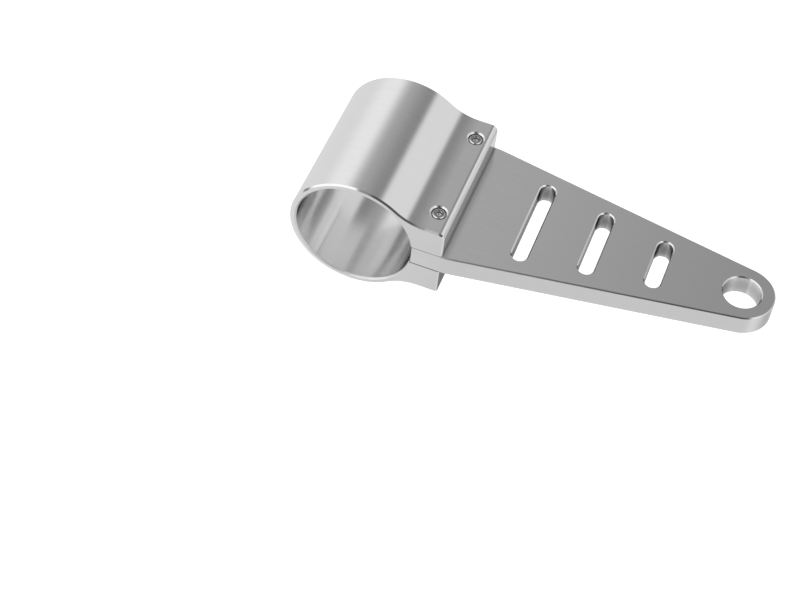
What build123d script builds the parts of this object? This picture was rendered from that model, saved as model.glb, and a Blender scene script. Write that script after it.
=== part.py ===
from build123d import *
import math
import os

# Headlight bracket for a motorcycle fork leg, machined from aluminium.
#
# Frame: +Z is the axis of the fork bore, along the fork leg. +X runs along the
# arm, from the fork to the headlight. The arm plate lies flat to Y, and +Y is the
# side that the clamp screws go in from. The origin is on the fork axis, halfway
# along the sleeve. All sizes are in millimetres.

# Fork sleeve
FORK_DIAMETER = 41.0
SLEEVE_WALL = 2.3
SLEEVE_LENGTH = 54.5
RIM_CHAMFER = 0.55

# Clamp jaws, one on each face of the arm plate
JAW_THICKNESS = 10.6
JAW_REACH = 31.3
BLEND_RADIUS = 18.0
UPPER_JAW_ROUNDING = 2.2
LOWER_JAW_ROUNDING = 0.8

# Arm plate
PLATE_THICKNESS = 8.0
TONGUE_START = 20.8
TONGUE_END = 33.0
SHOULDER_RADIUS = 25.0
PLATE_CHAMFER = 0.4

# Headlight eye at the tip of the arm
EYE_REACH = 127.3
EYE_HOLE_DIAMETER = 13.0
EYE_WALL = 4.65

# Lightening slots across the arm
SLOT_COUNT = 3
SLOT_FIRST_X = 54.5
SLOT_PITCH = 22.0
SLOT_WIDTH = 5.5
SLOT_RIM = 5.75

# Clamp screws, M2.5 x 20 with a hexagon socket
SCREW_COUNT = 2
SCREW_EDGE = 5.2
SCREW_SPACING = 36.6
THREAD_DIAMETER = 2.5
SCREW_LENGTH = 20.0
TIP_CHAMFER = 0.35
HEAD_DIAMETER = 4.5
HEAD_HEIGHT = 2.5
HEAD_CHAMFER = 0.3
SOCKET_ACROSS_FLATS = 2.0
SOCKET_DEPTH = 1.1
SOCKET_LEAD_IN = 0.1

# Screw holes: how far the heads sink below the pad, and the gaps round the screws
HEAD_SINK = 0.3
HEAD_GAP = 0.35
SHANK_GAP = 0.2
THREAD_GAP = 0.03
HOLE_SPARE_DEPTH = 1.5
COUNTERBORE_CHAMFER = 0.5
DRILL_POINT_ANGLE = 118.0

# Sizes that follow from the ones above
FORK_RADIUS = FORK_DIAMETER / 2
SLEEVE_RADIUS = FORK_RADIUS + SLEEVE_WALL
PLATE_FACE = PLATE_THICKNESS / 2
PAD_HEIGHT = PLATE_FACE + JAW_THICKNESS
EYE_RADIUS = EYE_HOLE_DIAMETER / 2 + EYE_WALL
SCREW_X = JAW_REACH - SCREW_EDGE
COUNTERBORE_DIAMETER = HEAD_DIAMETER + 2 * HEAD_GAP
CLEARANCE_DIAMETER = THREAD_DIAMETER + 2 * SHANK_GAP
TAPPED_DIAMETER = THREAD_DIAMETER + 2 * THREAD_GAP
HEAD_TOP = PAD_HEIGHT - HEAD_SINK
HEAD_SEAT = HEAD_TOP - HEAD_HEIGHT
SCREW_TIP = HEAD_SEAT - SCREW_LENGTH


def screw_heights():
    """Z of each screw, evenly spaced about the middle of the sleeve."""
    step = SCREW_SPACING / (SCREW_COUNT - 1)
    return [step * i - SCREW_SPACING / 2 for i in range(SCREW_COUNT)]


def rod(diameter, low, high):
    """Round rod along Y, from low to high, on the line of the screws."""
    place = Plane(origin=(SCREW_X, low, 0), z_dir=(0, 1, 0))
    bottom = (Align.CENTER, Align.CENTER, Align.MIN)
    return place * Cylinder(diameter / 2, high - low, align=bottom)


def cone(low_diameter, high_diameter, low, high):
    """Round cone along Y, from low to high, on the line of the screws."""
    place = Plane(origin=(SCREW_X, low, 0), z_dir=(0, 1, 0))
    bottom = (Align.CENTER, Align.CENTER, Align.MIN)
    return place * Cone(low_diameter / 2, high_diameter / 2, high - low, align=bottom)


def at_each_screw(solid):
    """A copy of the solid at each screw."""
    return [Pos(0, 0, z) * solid for z in screw_heights()]


def clamp_section():
    """Cross-section of the split sleeve and its two jaws."""
    block = Pos(JAW_REACH / 2, 0) * Rectangle(JAW_REACH, 2 * PAD_HEIGHT)
    section = Circle(SLEEVE_RADIUS) + block
    corners = section.vertices().sort_by(Axis.X)
    section = fillet(corners[:2], BLEND_RADIUS)
    for side, rounding in ((0, LOWER_JAW_ROUNDING), (-1, UPPER_JAW_ROUNDING)):
        corner = section.vertices().group_by(Axis.X)[-1].sort_by(Axis.Y)[side]
        section = fillet(corner, rounding)

    gap = Pos(JAW_REACH, 0) * Rectangle(2 * JAW_REACH, PLATE_THICKNESS)
    return section - Circle(FORK_RADIUS) - gap


def screw_hole():
    """Counterbore and clearance hole in the upper jaw, tapped hole in the lower."""
    above = PAD_HEIGHT + COUNTERBORE_CHAMFER
    tapped_end = SCREW_TIP - HOLE_SPARE_DEPTH
    half_point = math.radians(DRILL_POINT_ANGLE / 2)
    drill_tip = tapped_end - TAPPED_DIAMETER / 2 / math.tan(half_point)
    mouth = COUNTERBORE_DIAMETER + 4 * COUNTERBORE_CHAMFER
    hole = rod(COUNTERBORE_DIAMETER, HEAD_SEAT, above)
    hole += cone(COUNTERBORE_DIAMETER, mouth, PAD_HEIGHT - COUNTERBORE_CHAMFER, above)
    hole += rod(CLEARANCE_DIAMETER, 0, HEAD_SEAT)
    hole += rod(TAPPED_DIAMETER, tapped_end, 0)
    hole += cone(0, TAPPED_DIAMETER, drill_tip, tapped_end)
    return hole


def make_clamp_sleeve():
    """Sleeve round the fork leg, split on the arm's side, with its jaws in one piece."""
    sleeve = extrude(clamp_section(), SLEEVE_LENGTH / 2, both=True)
    for end in (-1, 0):
        rim = sleeve.faces().sort_by(Axis.Z)[end]
        straight = rim.edges().filter_by(Axis.X)
        seams = straight.sort_by(lambda edge: abs(edge.center().Y))[:2]
        outer = [edge for edge in rim.edges() if edge not in seams]
        sleeve = chamfer(outer, RIM_CHAMFER)
    return sleeve - at_each_screw(screw_hole())


def arm_outline():
    """Outline of the arm: a parallel tongue, then a taper that runs onto the round eye."""
    tongue_length = TONGUE_END - TONGUE_START
    tongue = Pos(TONGUE_START + tongue_length / 2, 0) * Rectangle(tongue_length, SLEEVE_LENGTH)
    eye = Pos(EYE_REACH, 0) * Circle(EYE_RADIUS)
    outline = make_hull([*tongue.edges(), *eye.edges()])
    shoulders = [v for v in outline.vertices() if abs(v.X - TONGUE_END) < 0.01]
    return fillet(shoulders, SHOULDER_RADIUS)


def half_width(x):
    """Half the width of the tapered arm at a distance x from the fork axis."""
    run = EYE_REACH - TONGUE_END
    to_centre = math.atan2(SLEEVE_LENGTH / 2, run)
    tangent = math.asin(EYE_RADIUS / math.hypot(run, SLEEVE_LENGTH / 2))
    return SLEEVE_LENGTH / 2 - (x - TONGUE_END) * math.tan(to_centre - tangent)


def slots():
    """Round-ended slots across the arm, each as long as leaves the same rim."""
    cuts = []
    for i in range(SLOT_COUNT):
        x = SLOT_FIRST_X + SLOT_PITCH * i
        length = 2 * (half_width(x) - SLOT_RIM)
        cuts.append(Pos(x, 0) * SlotOverall(length, SLOT_WIDTH, rotation=90))
    return cuts


def make_arm_plate():
    """Flat arm, whose tongue fills the gap between the jaws."""
    flat = arm_outline() - slots() - Pos(EYE_REACH, 0) * Circle(EYE_HOLE_DIAMETER / 2)
    arm = extrude(Plane.XZ * flat, PLATE_FACE, both=True)
    for side in (-1, 0):
        face = arm.faces().sort_by(Axis.Y)[side]
        arm = chamfer(face.edges(), PLATE_CHAMFER)
    return arm - at_each_screw(rod(CLEARANCE_DIAMETER, -PLATE_THICKNESS, PLATE_THICKNESS))


def hex_socket():
    """Hexagon socket with a cone at its floor and a small lead-in at its mouth."""
    floor = HEAD_TOP - SOCKET_DEPTH
    across_corners = SOCKET_ACROSS_FLATS / math.cos(math.pi / 6)
    place = Plane(origin=(SCREW_X, floor, 0), z_dir=(0, 1, 0))
    hexagon = RegularPolygon(across_corners / 2, 6)
    socket = extrude(place * hexagon, SOCKET_DEPTH)
    mouth = across_corners + 2 * SOCKET_LEAD_IN
    lead_in_floor = HEAD_TOP - mouth / 2 + SOCKET_ACROSS_FLATS / 2
    socket += cone(SOCKET_ACROSS_FLATS, mouth, lead_in_floor, HEAD_TOP)
    point_depth = SOCKET_ACROSS_FLATS / 2 / math.tan(math.radians(DRILL_POINT_ANGLE / 2))
    return socket + cone(0, SOCKET_ACROSS_FLATS, floor - point_depth, floor)


def make_clamp_screws():
    """The socket head screws, with their threads left plain."""
    head_edge = HEAD_TOP - HEAD_CHAMFER
    tip_edge = SCREW_TIP + TIP_CHAMFER
    screw = rod(HEAD_DIAMETER, HEAD_SEAT, head_edge)
    screw += cone(HEAD_DIAMETER, HEAD_DIAMETER - 2 * HEAD_CHAMFER, head_edge, HEAD_TOP)
    screw += rod(THREAD_DIAMETER, tip_edge, HEAD_SEAT)
    screw += cone(THREAD_DIAMETER - 2 * TIP_CHAMFER, THREAD_DIAMETER, SCREW_TIP, tip_edge)
    screw -= hex_socket()
    return Compound(children=at_each_screw(screw))


os.makedirs("parts", exist_ok=True)
export_step(make_clamp_sleeve(), "parts/clamp_sleeve.step")
export_step(make_arm_plate(), "parts/arm_plate.step")
export_step(make_clamp_screws(), "parts/clamp_screws.step")
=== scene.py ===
import bpy
from mathutils import Matrix, Vector


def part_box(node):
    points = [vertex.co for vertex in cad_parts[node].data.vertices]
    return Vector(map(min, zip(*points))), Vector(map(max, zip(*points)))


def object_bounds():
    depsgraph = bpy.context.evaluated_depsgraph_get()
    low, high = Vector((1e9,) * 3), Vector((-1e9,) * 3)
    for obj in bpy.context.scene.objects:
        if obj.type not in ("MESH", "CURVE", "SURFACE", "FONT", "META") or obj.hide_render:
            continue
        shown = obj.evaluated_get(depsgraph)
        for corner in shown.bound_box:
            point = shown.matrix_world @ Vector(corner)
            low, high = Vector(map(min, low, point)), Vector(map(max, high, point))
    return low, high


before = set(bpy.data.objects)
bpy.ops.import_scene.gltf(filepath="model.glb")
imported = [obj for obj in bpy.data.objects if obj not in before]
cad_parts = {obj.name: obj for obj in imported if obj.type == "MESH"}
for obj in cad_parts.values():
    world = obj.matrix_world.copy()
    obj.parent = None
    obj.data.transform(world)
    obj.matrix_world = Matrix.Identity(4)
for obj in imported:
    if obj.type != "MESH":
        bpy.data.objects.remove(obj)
cad_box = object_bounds()

# Lengths are in metres, in the part's frame: +Z is the fork bore's axis, +X runs
# along the arm, and the screws go in from +Y.

# Camera
CAMERA_PLACE = Vector((0.1312, 0.5068, 0.4397))
CAMERA_TARGET = Vector((0.0161, -0.0388, 0.0165))
PICTURE_UP = Vector((-0.3221, 0.6217, -0.7140))
LENS_MM = 89.92
SENSOR_MM = 36.0

# Floor, well below the part, which hangs on its fork clamp. Its lift is a glow that
# only the camera sees, to bring it near the white of the background.
FLOOR_DROP = 0.6
FLOOR_SIZE = 12.0
FLOOR_TONE = 0.92
FLOOR_LIFT = 0.35

# Lamp over the floor
LAMP_PLACE = Vector((0.5, 0.6, 1.4))
LAMP_SIZE = 1.0
LAMP_WATTS = 24.0

# White background, and the plain light from it on what isn't a mirror
BACKGROUND_LEVEL = 1.0
ROOM_LEVEL = 0.74

# Studio in front of the background, as the metal mirrors it. Azimuth is measured
# from +X towards +Y, elevation from the horizon, both in degrees. Each edge of a
# panel has its place and its softness, and later panels cover earlier ones.
HALF_TURN = 180.0
PANELS = {
    # name: azimuth from, azimuth to, elevation from, elevation to, level
    "grey room": ((105, 10), (435, 10), (-90, 1), (55, 10), ROOM_LEVEL),
    "rear softbox": ((115, 28), (160, 30), (-90, 1), (5, 10), 0.865),
    "high softbox": ((107, 1.5), (180, 10), (2, 12), (90, 1), 1.1),
    "right softbox": ((10, 10), (52, 8), (5, 10), (32, 10), 1.0),
    "front wall": ((248, 20), (308, 20), (17, 15), (90, 1), 0.61),
    "side wall": ((325, 10), (370, 16), (-90, 1), (0, 20), 0.64),
    "low wall": ((290, 10), (325, 20), (-90, 1), (-5, 40), 0.46),
    "open side": ((64, 20), (115, 28), (-90, 1), (25, 10), 0.40),
    "dark corner": ((61, 12), (88, 40), (-90, 1), (25, 10), 0.26),
    "upper wall": ((75, 10), (107, 1.5), (27, 12), (90, 1), 0.27),
    "high flag": ((10, 10), (80, 12), (31, 8), (62, 16), 0.07),
    "stand": ((185, 6), (195, 4), (14, 4), (27, 4), 0.1),
    "low card": ((243, 4), (255.5, 3), (26, 6), (38, 3), 0.92),
}

# How much light the metals throw back where nothing shades them
ALUMINIUM_TONE = 0.90
STEEL_TONE = 0.88
# Painted shade on each screw head's face and in its socket, down in the counterbore
HEAD_FACE_SHADE_TONE = 0.36
SOCKET_SHADE_TONE = 0.6

# Roughness of the metals
TURNED_ROUGHNESS = 0.16
MILLED_ROUGHNESS = 0.18
STEEL_ROUGHNESS = 0.25
BROKEN_EDGE_ROUGHNESS = 0.5

# Grain of the metals: cycles per metre along X, Y and Z, and depth of its relief
TURNED_FINE = (120, 120, 7000)
TURNED_COARSE = (60, 60, 1500)
TURNED_RELIEF = 0.8e-6
MILLED_FINE = (120, 7000, 5000)
MILLED_COARSE = (60, 1500, 1500)
MILLED_RELIEF = 0.4e-6
STEEL_FINE = (3000, 3000, 3000)
STEEL_COARSE = (800, 800, 800)
STEEL_RELIEF = 1e-6
GRAIN_DETAIL = 2.0

# The band of the coarse grain over which a tone or roughness varies, and how far
GRAIN_BAND = (0.3, 0.7)
TONE_SPREAD = (-0.01, 0.01)
ROUGHNESS_SPREAD = (-0.01, 0.02)
STEEL_ROUGHNESS_SPREAD = (-0.02, 0.03)
STEEL_SHADE_SPREAD = (-0.05, 0.0)

# Highlights on the turned sleeve, drawn out across its rings
RING_STRENGTH = 0.5
RING_TURN = 0.25

# Shade where the surface round a point shuts it in: how far round it counts, how
# open the point is where the shade is full and where it ends, and the full shade
CREVICE_REACH = 0.0012
CREVICE_OPENNESS = (0.45, 1.0)
CREVICE_TONE = 0.45
COUNTERBORE_TONE = 0.7
OPENING_REACH = 0.02
OPENING_OPENNESS = (0.30, 0.72)
OPENING_TONE = 0.15

# Shade of the bore's wall, of the jaw's end under the arm, and towards the eye
BORE_TONE = 0.93
UNDER_ARM_TONE = 0.4
EYE_END_TONE = 0.88

# Where the tones change on the part: from the first place to the second
BORE_WALL_RADIUS = (0.0206, 0.0207)
BROKEN_EDGE_RADIUS = (0.0211, 0.0212)
BROKEN_EDGE_HEIGHT = (0.0266, 0.0267)
JAW_END_X = (0.0310, 0.0312)
UNDER_ARM_Y = (-0.0042, -0.0038)
ARM_TAPER_X = (0.035, 0.135)
HEAD_FACE_DEPTH = (0.0003, 0.0001)
HEAD_FACE_RADIUS = (0.00165, 0.00185)

# How squarely a face of the arm looks along Y: an opening's wall, a flat face
FACE_TURN = (0.3, 0.7)


class Graph:
    """A node tree, with short calls to add its nodes."""

    def __init__(self, tree):
        self.tree = tree
        tree.nodes.clear()

    def add(self, kind, inputs=None, **settings):
        """A new node. Each input is a number, a colour or another node's output."""
        made = self.tree.nodes.new(kind)
        for name, value in settings.items():
            setattr(made, name, value)
        for key, value in (inputs or {}).items():
            if isinstance(value, bpy.types.NodeSocket):
                self.tree.links.new(value, made.inputs[key])
            else:
                made.inputs[key].default_value = value
        return made

    def math(self, operation, *values):
        """The result of one sum."""
        inputs = dict(enumerate(values))
        return self.add("ShaderNodeMath", inputs, operation=operation).outputs[0]

    def smooth(self, value, low, high, start=0.0, end=1.0):
        """Runs smoothly from start to end while the value goes from low to high."""
        inputs = {"Value": value, "From Min": low, "From Max": high, "To Min": start, "To Max": end}
        made = self.add("ShaderNodeMapRange", inputs, interpolation_type="SMOOTHSTEP")
        return made.outputs["Result"]

    def mix(self, factor, a, b):
        """A number between a and b."""
        inputs = {"Factor": factor, "A": a, "B": b}
        return self.add("ShaderNodeMix", inputs, data_type="FLOAT").outputs["Result"]

    def distance(self, a, b):
        """How far a point is from an axis, from its two places across it."""
        squares = [self.math("POWER", value, 2.0) for value in (a, b)]
        return self.math("SQRT", self.math("ADD", *squares))

    def grain(self, point, scale):
        """Noise whose grain is drawn out where the scale along an axis is small."""
        scaled = self.add("ShaderNodeVectorMath", {0: point, 1: scale}, operation="MULTIPLY")
        inputs = {"Vector": scaled.outputs[0], "Scale": 1.0, "Detail": GRAIN_DETAIL}
        return self.add("ShaderNodeTexNoise", inputs).outputs["Fac"]

    def varied(self, grain, level, spread):
        """The level, a little lower or higher as the grain has it."""
        low, high = spread
        return self.smooth(grain, *GRAIN_BAND, level + low, level + high)

    def closed_in(self, reach, openness, tone):
        """1 in the open, and down to the tone where the surface round a point shuts it in."""
        share = self.add("ShaderNodeAmbientOcclusion", {"Distance": reach}).outputs["AO"]
        return self.smooth(share, *openness, tone, 1.0)


def grey(level):
    """A colour with no hue."""
    return (level, level, level, 1.0)


def window(graph, angle, start, end):
    """1 between the two edges, each an angle and its softness, and 0 outside them."""
    (low, low_soft), (high, high_soft) = start, end
    half = (high - low) / 2
    turned = graph.math("SUBTRACT", angle, (low + high) / 2)
    turned = graph.math("WRAP", turned, HALF_TURN, -HALF_TURN)
    rise = graph.smooth(turned, -half - low_soft / 2, -half + low_soft / 2)
    fall = graph.smooth(turned, half + high_soft / 2, half - high_soft / 2)
    return graph.math("MULTIPLY", rise, fall)


def make_world():
    """White background, and in front of it the studio's panels, hidden from the camera."""
    world = bpy.data.worlds.new("studio")
    bpy.context.scene.world = world
    world.use_nodes = True
    graph = Graph(world.node_tree)
    direction = graph.add("ShaderNodeTexCoord").outputs["Generated"]
    x, y, z = graph.add("ShaderNodeSeparateXYZ", {0: direction}).outputs
    azimuth = graph.math("DEGREES", graph.math("ARCTAN2", y, x))
    elevation = graph.math("DEGREES", graph.math("ARCSINE", z))

    rays = graph.add("ShaderNodeLightPath").outputs
    camera = rays["Is Camera Ray"]
    mirrored = graph.math("MAXIMUM", rays["Is Glossy Ray"], rays["Is Transmission Ray"])
    level = graph.mix(graph.math("MAXIMUM", camera, mirrored), ROOM_LEVEL, BACKGROUND_LEVEL)
    shown = graph.math("SUBTRACT", 1.0, camera)
    for left, right, bottom, top, panel in PANELS.values():
        across = window(graph, azimuth, left, right)
        up = window(graph, elevation, bottom, top)
        cover = graph.math("MULTIPLY", across, up)
        level = graph.mix(graph.math("MULTIPLY", cover, shown), level, panel)

    studio = graph.add("ShaderNodeBackground", {"Color": grey(1.0), "Strength": level})
    graph.add("ShaderNodeOutputWorld", {"Surface": studio.outputs[0]})


def make_floor():
    """Pale floor, a little lifted for the camera, that keeps the part's shadow."""
    half = FLOOR_SIZE / 2
    low, _ = cad_box
    height = low.z - FLOOR_DROP
    corners = [(x, y, height) for x, y in ((-half, -half), (half, -half), (half, half), (-half, half))]
    mesh = bpy.data.meshes.new("floor")
    mesh.from_pydata(corners, [], [(0, 1, 2, 3)])
    floor = bpy.data.objects.new("floor", mesh)
    bpy.context.scene.collection.objects.link(floor)
    floor.visible_glossy = False

    material = bpy.data.materials.new("floor")
    material.use_nodes = True
    graph = Graph(material.node_tree)
    camera = graph.add("ShaderNodeLightPath").outputs["Is Camera Ray"]
    lift = graph.math("MULTIPLY", camera, FLOOR_LIFT)
    glow = graph.add("ShaderNodeEmission", {"Color": grey(1.0), "Strength": lift})
    matt = graph.add("ShaderNodeBsdfDiffuse", {"Color": grey(FLOOR_TONE)})
    both = graph.add("ShaderNodeAddShader", {0: glow.outputs[0], 1: matt.outputs[0]})
    graph.add("ShaderNodeOutputMaterial", {"Surface": both.outputs[0]})
    mesh.materials.append(material)


def make_lamp():
    """One large soft lamp above, that gives the floor its shadow."""
    data = bpy.data.lights.new("overhead", "AREA")
    data.size = LAMP_SIZE
    data.energy = LAMP_WATTS
    lamp = bpy.data.objects.new("overhead", data)
    lamp.location = LAMP_PLACE
    lamp.rotation_euler = (-LAMP_PLACE).to_track_quat("-Z", "Y").to_euler()
    lamp.visible_glossy = False
    bpy.context.scene.collection.objects.link(lamp)


def make_camera():
    """Camera at the photograph's viewing angle."""
    back = (CAMERA_PLACE - CAMERA_TARGET).normalized()
    right = PICTURE_UP.cross(back).normalized()
    up = back.cross(right)
    data = bpy.data.cameras.new("camera")
    data.sensor_width = SENSOR_MM
    data.lens = LENS_MM
    camera = bpy.data.objects.new("camera", data)
    placed = Matrix((right, up, back)).transposed().to_4x4()
    placed.translation = CAMERA_PLACE
    camera.matrix_world = placed
    bpy.context.scene.collection.objects.link(camera)
    bpy.context.scene.camera = camera


def dress(node, material):
    """Gives a CAD node its material."""
    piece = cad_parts[node]
    for slot in piece.material_slots:
        slot.material = material


def new_metal(name):
    """An empty material, with its graph, and the place of each point, whole and along the axes."""
    material = bpy.data.materials.new(name)
    material.use_nodes = True
    graph = Graph(material.node_tree)
    point = graph.add("ShaderNodeTexCoord").outputs["Object"]
    along = graph.add("ShaderNodeSeparateXYZ", {0: point}).outputs
    return material, graph, point, along


def finish_metal(graph, tone, shade, roughness, fine, depth, **more):
    """The metal's shader. The shade darkens the metal's tone, also where it is seen edge on."""
    shaded = graph.math("MULTIPLY", tone, shade)
    face_on = graph.add("ShaderNodeCombineColor", {0: shaded, 1: shaded, 2: shaded}).outputs[0]
    edge_on = graph.add("ShaderNodeCombineColor", {0: shade, 1: shade, 2: shade}).outputs[0]
    bump = graph.add("ShaderNodeBump", {"Height": fine, "Strength": 1.0, "Distance": depth})
    inputs = {"Base Color": face_on, "Specular Tint": edge_on, "Metallic": 1.0,
              "Roughness": roughness, "Normal": bump.outputs[0]}
    inputs.update(more)
    shader = graph.add("ShaderNodeBsdfPrincipled", inputs)
    graph.add("ShaderNodeOutputMaterial", {"Surface": shader.outputs[0]})


def turned_aluminium():
    """Polished, with fine rings round the sleeve, and a broken edge, duller, at the bore's ends."""
    material, graph, point, (x, y, z) = new_metal("turned aluminium")
    fine = graph.grain(point, TURNED_FINE)
    coarse = graph.grain(point, TURNED_COARSE)
    tone = graph.varied(coarse, ALUMINIUM_TONE, TONE_SPREAD)

    crevice = graph.closed_in(CREVICE_REACH, CREVICE_OPENNESS, COUNTERBORE_TONE)
    under_arm = graph.smooth(y, *UNDER_ARM_Y, UNDER_ARM_TONE, 1.0)
    shade = graph.mix(graph.smooth(x, *JAW_END_X), crevice, under_arm)
    radius = graph.distance(x, y)
    bore = graph.smooth(radius, *BORE_WALL_RADIUS, BORE_TONE, 1.0)
    shade = graph.math("MULTIPLY", shade, bore)

    inner = graph.smooth(radius, *BROKEN_EDGE_RADIUS, 1.0, 0.0)
    end = graph.smooth(graph.math("ABSOLUTE", z), *BROKEN_EDGE_HEIGHT)
    rough = graph.varied(coarse, TURNED_ROUGHNESS, ROUGHNESS_SPREAD)
    rough = graph.mix(graph.math("MULTIPLY", inner, end), rough, BROKEN_EDGE_ROUGHNESS)
    ring = graph.add("ShaderNodeTangent", direction_type="RADIAL", axis="Z").outputs[0]
    more = {"Anisotropic": RING_STRENGTH, "Anisotropic Rotation": RING_TURN, "Tangent": ring}
    finish_metal(graph, tone, shade, rough, fine, TURNED_RELIEF, **more)
    return material


def milled_aluminium():
    """Brushed along the arm, shaded in the slots and the eye, and darker towards the eye."""
    material, graph, point, (x, _, _) = new_metal("milled aluminium")
    fine = graph.grain(point, MILLED_FINE)
    coarse = graph.grain(point, MILLED_COARSE)
    tone = graph.varied(coarse, ALUMINIUM_TONE, TONE_SPREAD)

    crevice = graph.closed_in(CREVICE_REACH, CREVICE_OPENNESS, CREVICE_TONE)
    opening = graph.closed_in(OPENING_REACH, OPENING_OPENNESS, OPENING_TONE)
    towards_eye = graph.smooth(x, *ARM_TAPER_X, 1.0, EYE_END_TONE)
    normal = graph.add("ShaderNodeTexCoord").outputs["Normal"]
    _, square, _ = graph.add("ShaderNodeSeparateXYZ", {0: normal}).outputs
    flat = graph.smooth(graph.math("ABSOLUTE", square), *FACE_TURN)
    shade = graph.math("MULTIPLY", crevice, graph.mix(flat, opening, towards_eye))

    rough = graph.varied(coarse, MILLED_ROUGHNESS, ROUGHNESS_SPREAD)
    finish_metal(graph, tone, shade, rough, fine, MILLED_RELIEF)
    return material


def screw_steel():
    """Bright, with painted shade on each head's face down in its counterbore: dark grey, and lighter
    in the socket.
    """
    material, graph, point, (x, y, z) = new_metal("steel")
    low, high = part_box("clamp_screws")
    screw_x = (low.x + high.x) / 2
    screw_height = high.z - (high.x - low.x) / 2
    across = graph.math("SUBTRACT", x, screw_x)
    along = graph.math("SUBTRACT", graph.math("ABSOLUTE", z), screw_height)
    radius = graph.distance(across, along)

    fine = graph.grain(point, STEEL_FINE)
    coarse = graph.grain(point, STEEL_COARSE)
    socket_top, face_depth = HEAD_FACE_DEPTH
    # Painted shade of the recessed head: dark grey on its face, lighter in its socket
    face_shade = graph.smooth(y, high.y - socket_top, high.y - face_depth, SOCKET_SHADE_TONE, HEAD_FACE_SHADE_TONE)
    tone = graph.smooth(radius, *HEAD_FACE_RADIUS, face_shade, STEEL_TONE)
    shade = graph.varied(coarse, 1.0, STEEL_SHADE_SPREAD)
    rough = graph.varied(coarse, STEEL_ROUGHNESS, STEEL_ROUGHNESS_SPREAD)
    finish_metal(graph, tone, shade, rough, fine, STEEL_RELIEF)
    return material


def set_view():
    """Colours as they are written."""
    view = bpy.context.scene.view_settings
    view.view_transform = "Standard"


make_camera()
make_world()
make_floor()
make_lamp()
dress("clamp_sleeve", turned_aluminium())
dress("arm_plate", milled_aluminium())
dress("clamp_screws", screw_steel())
set_view()
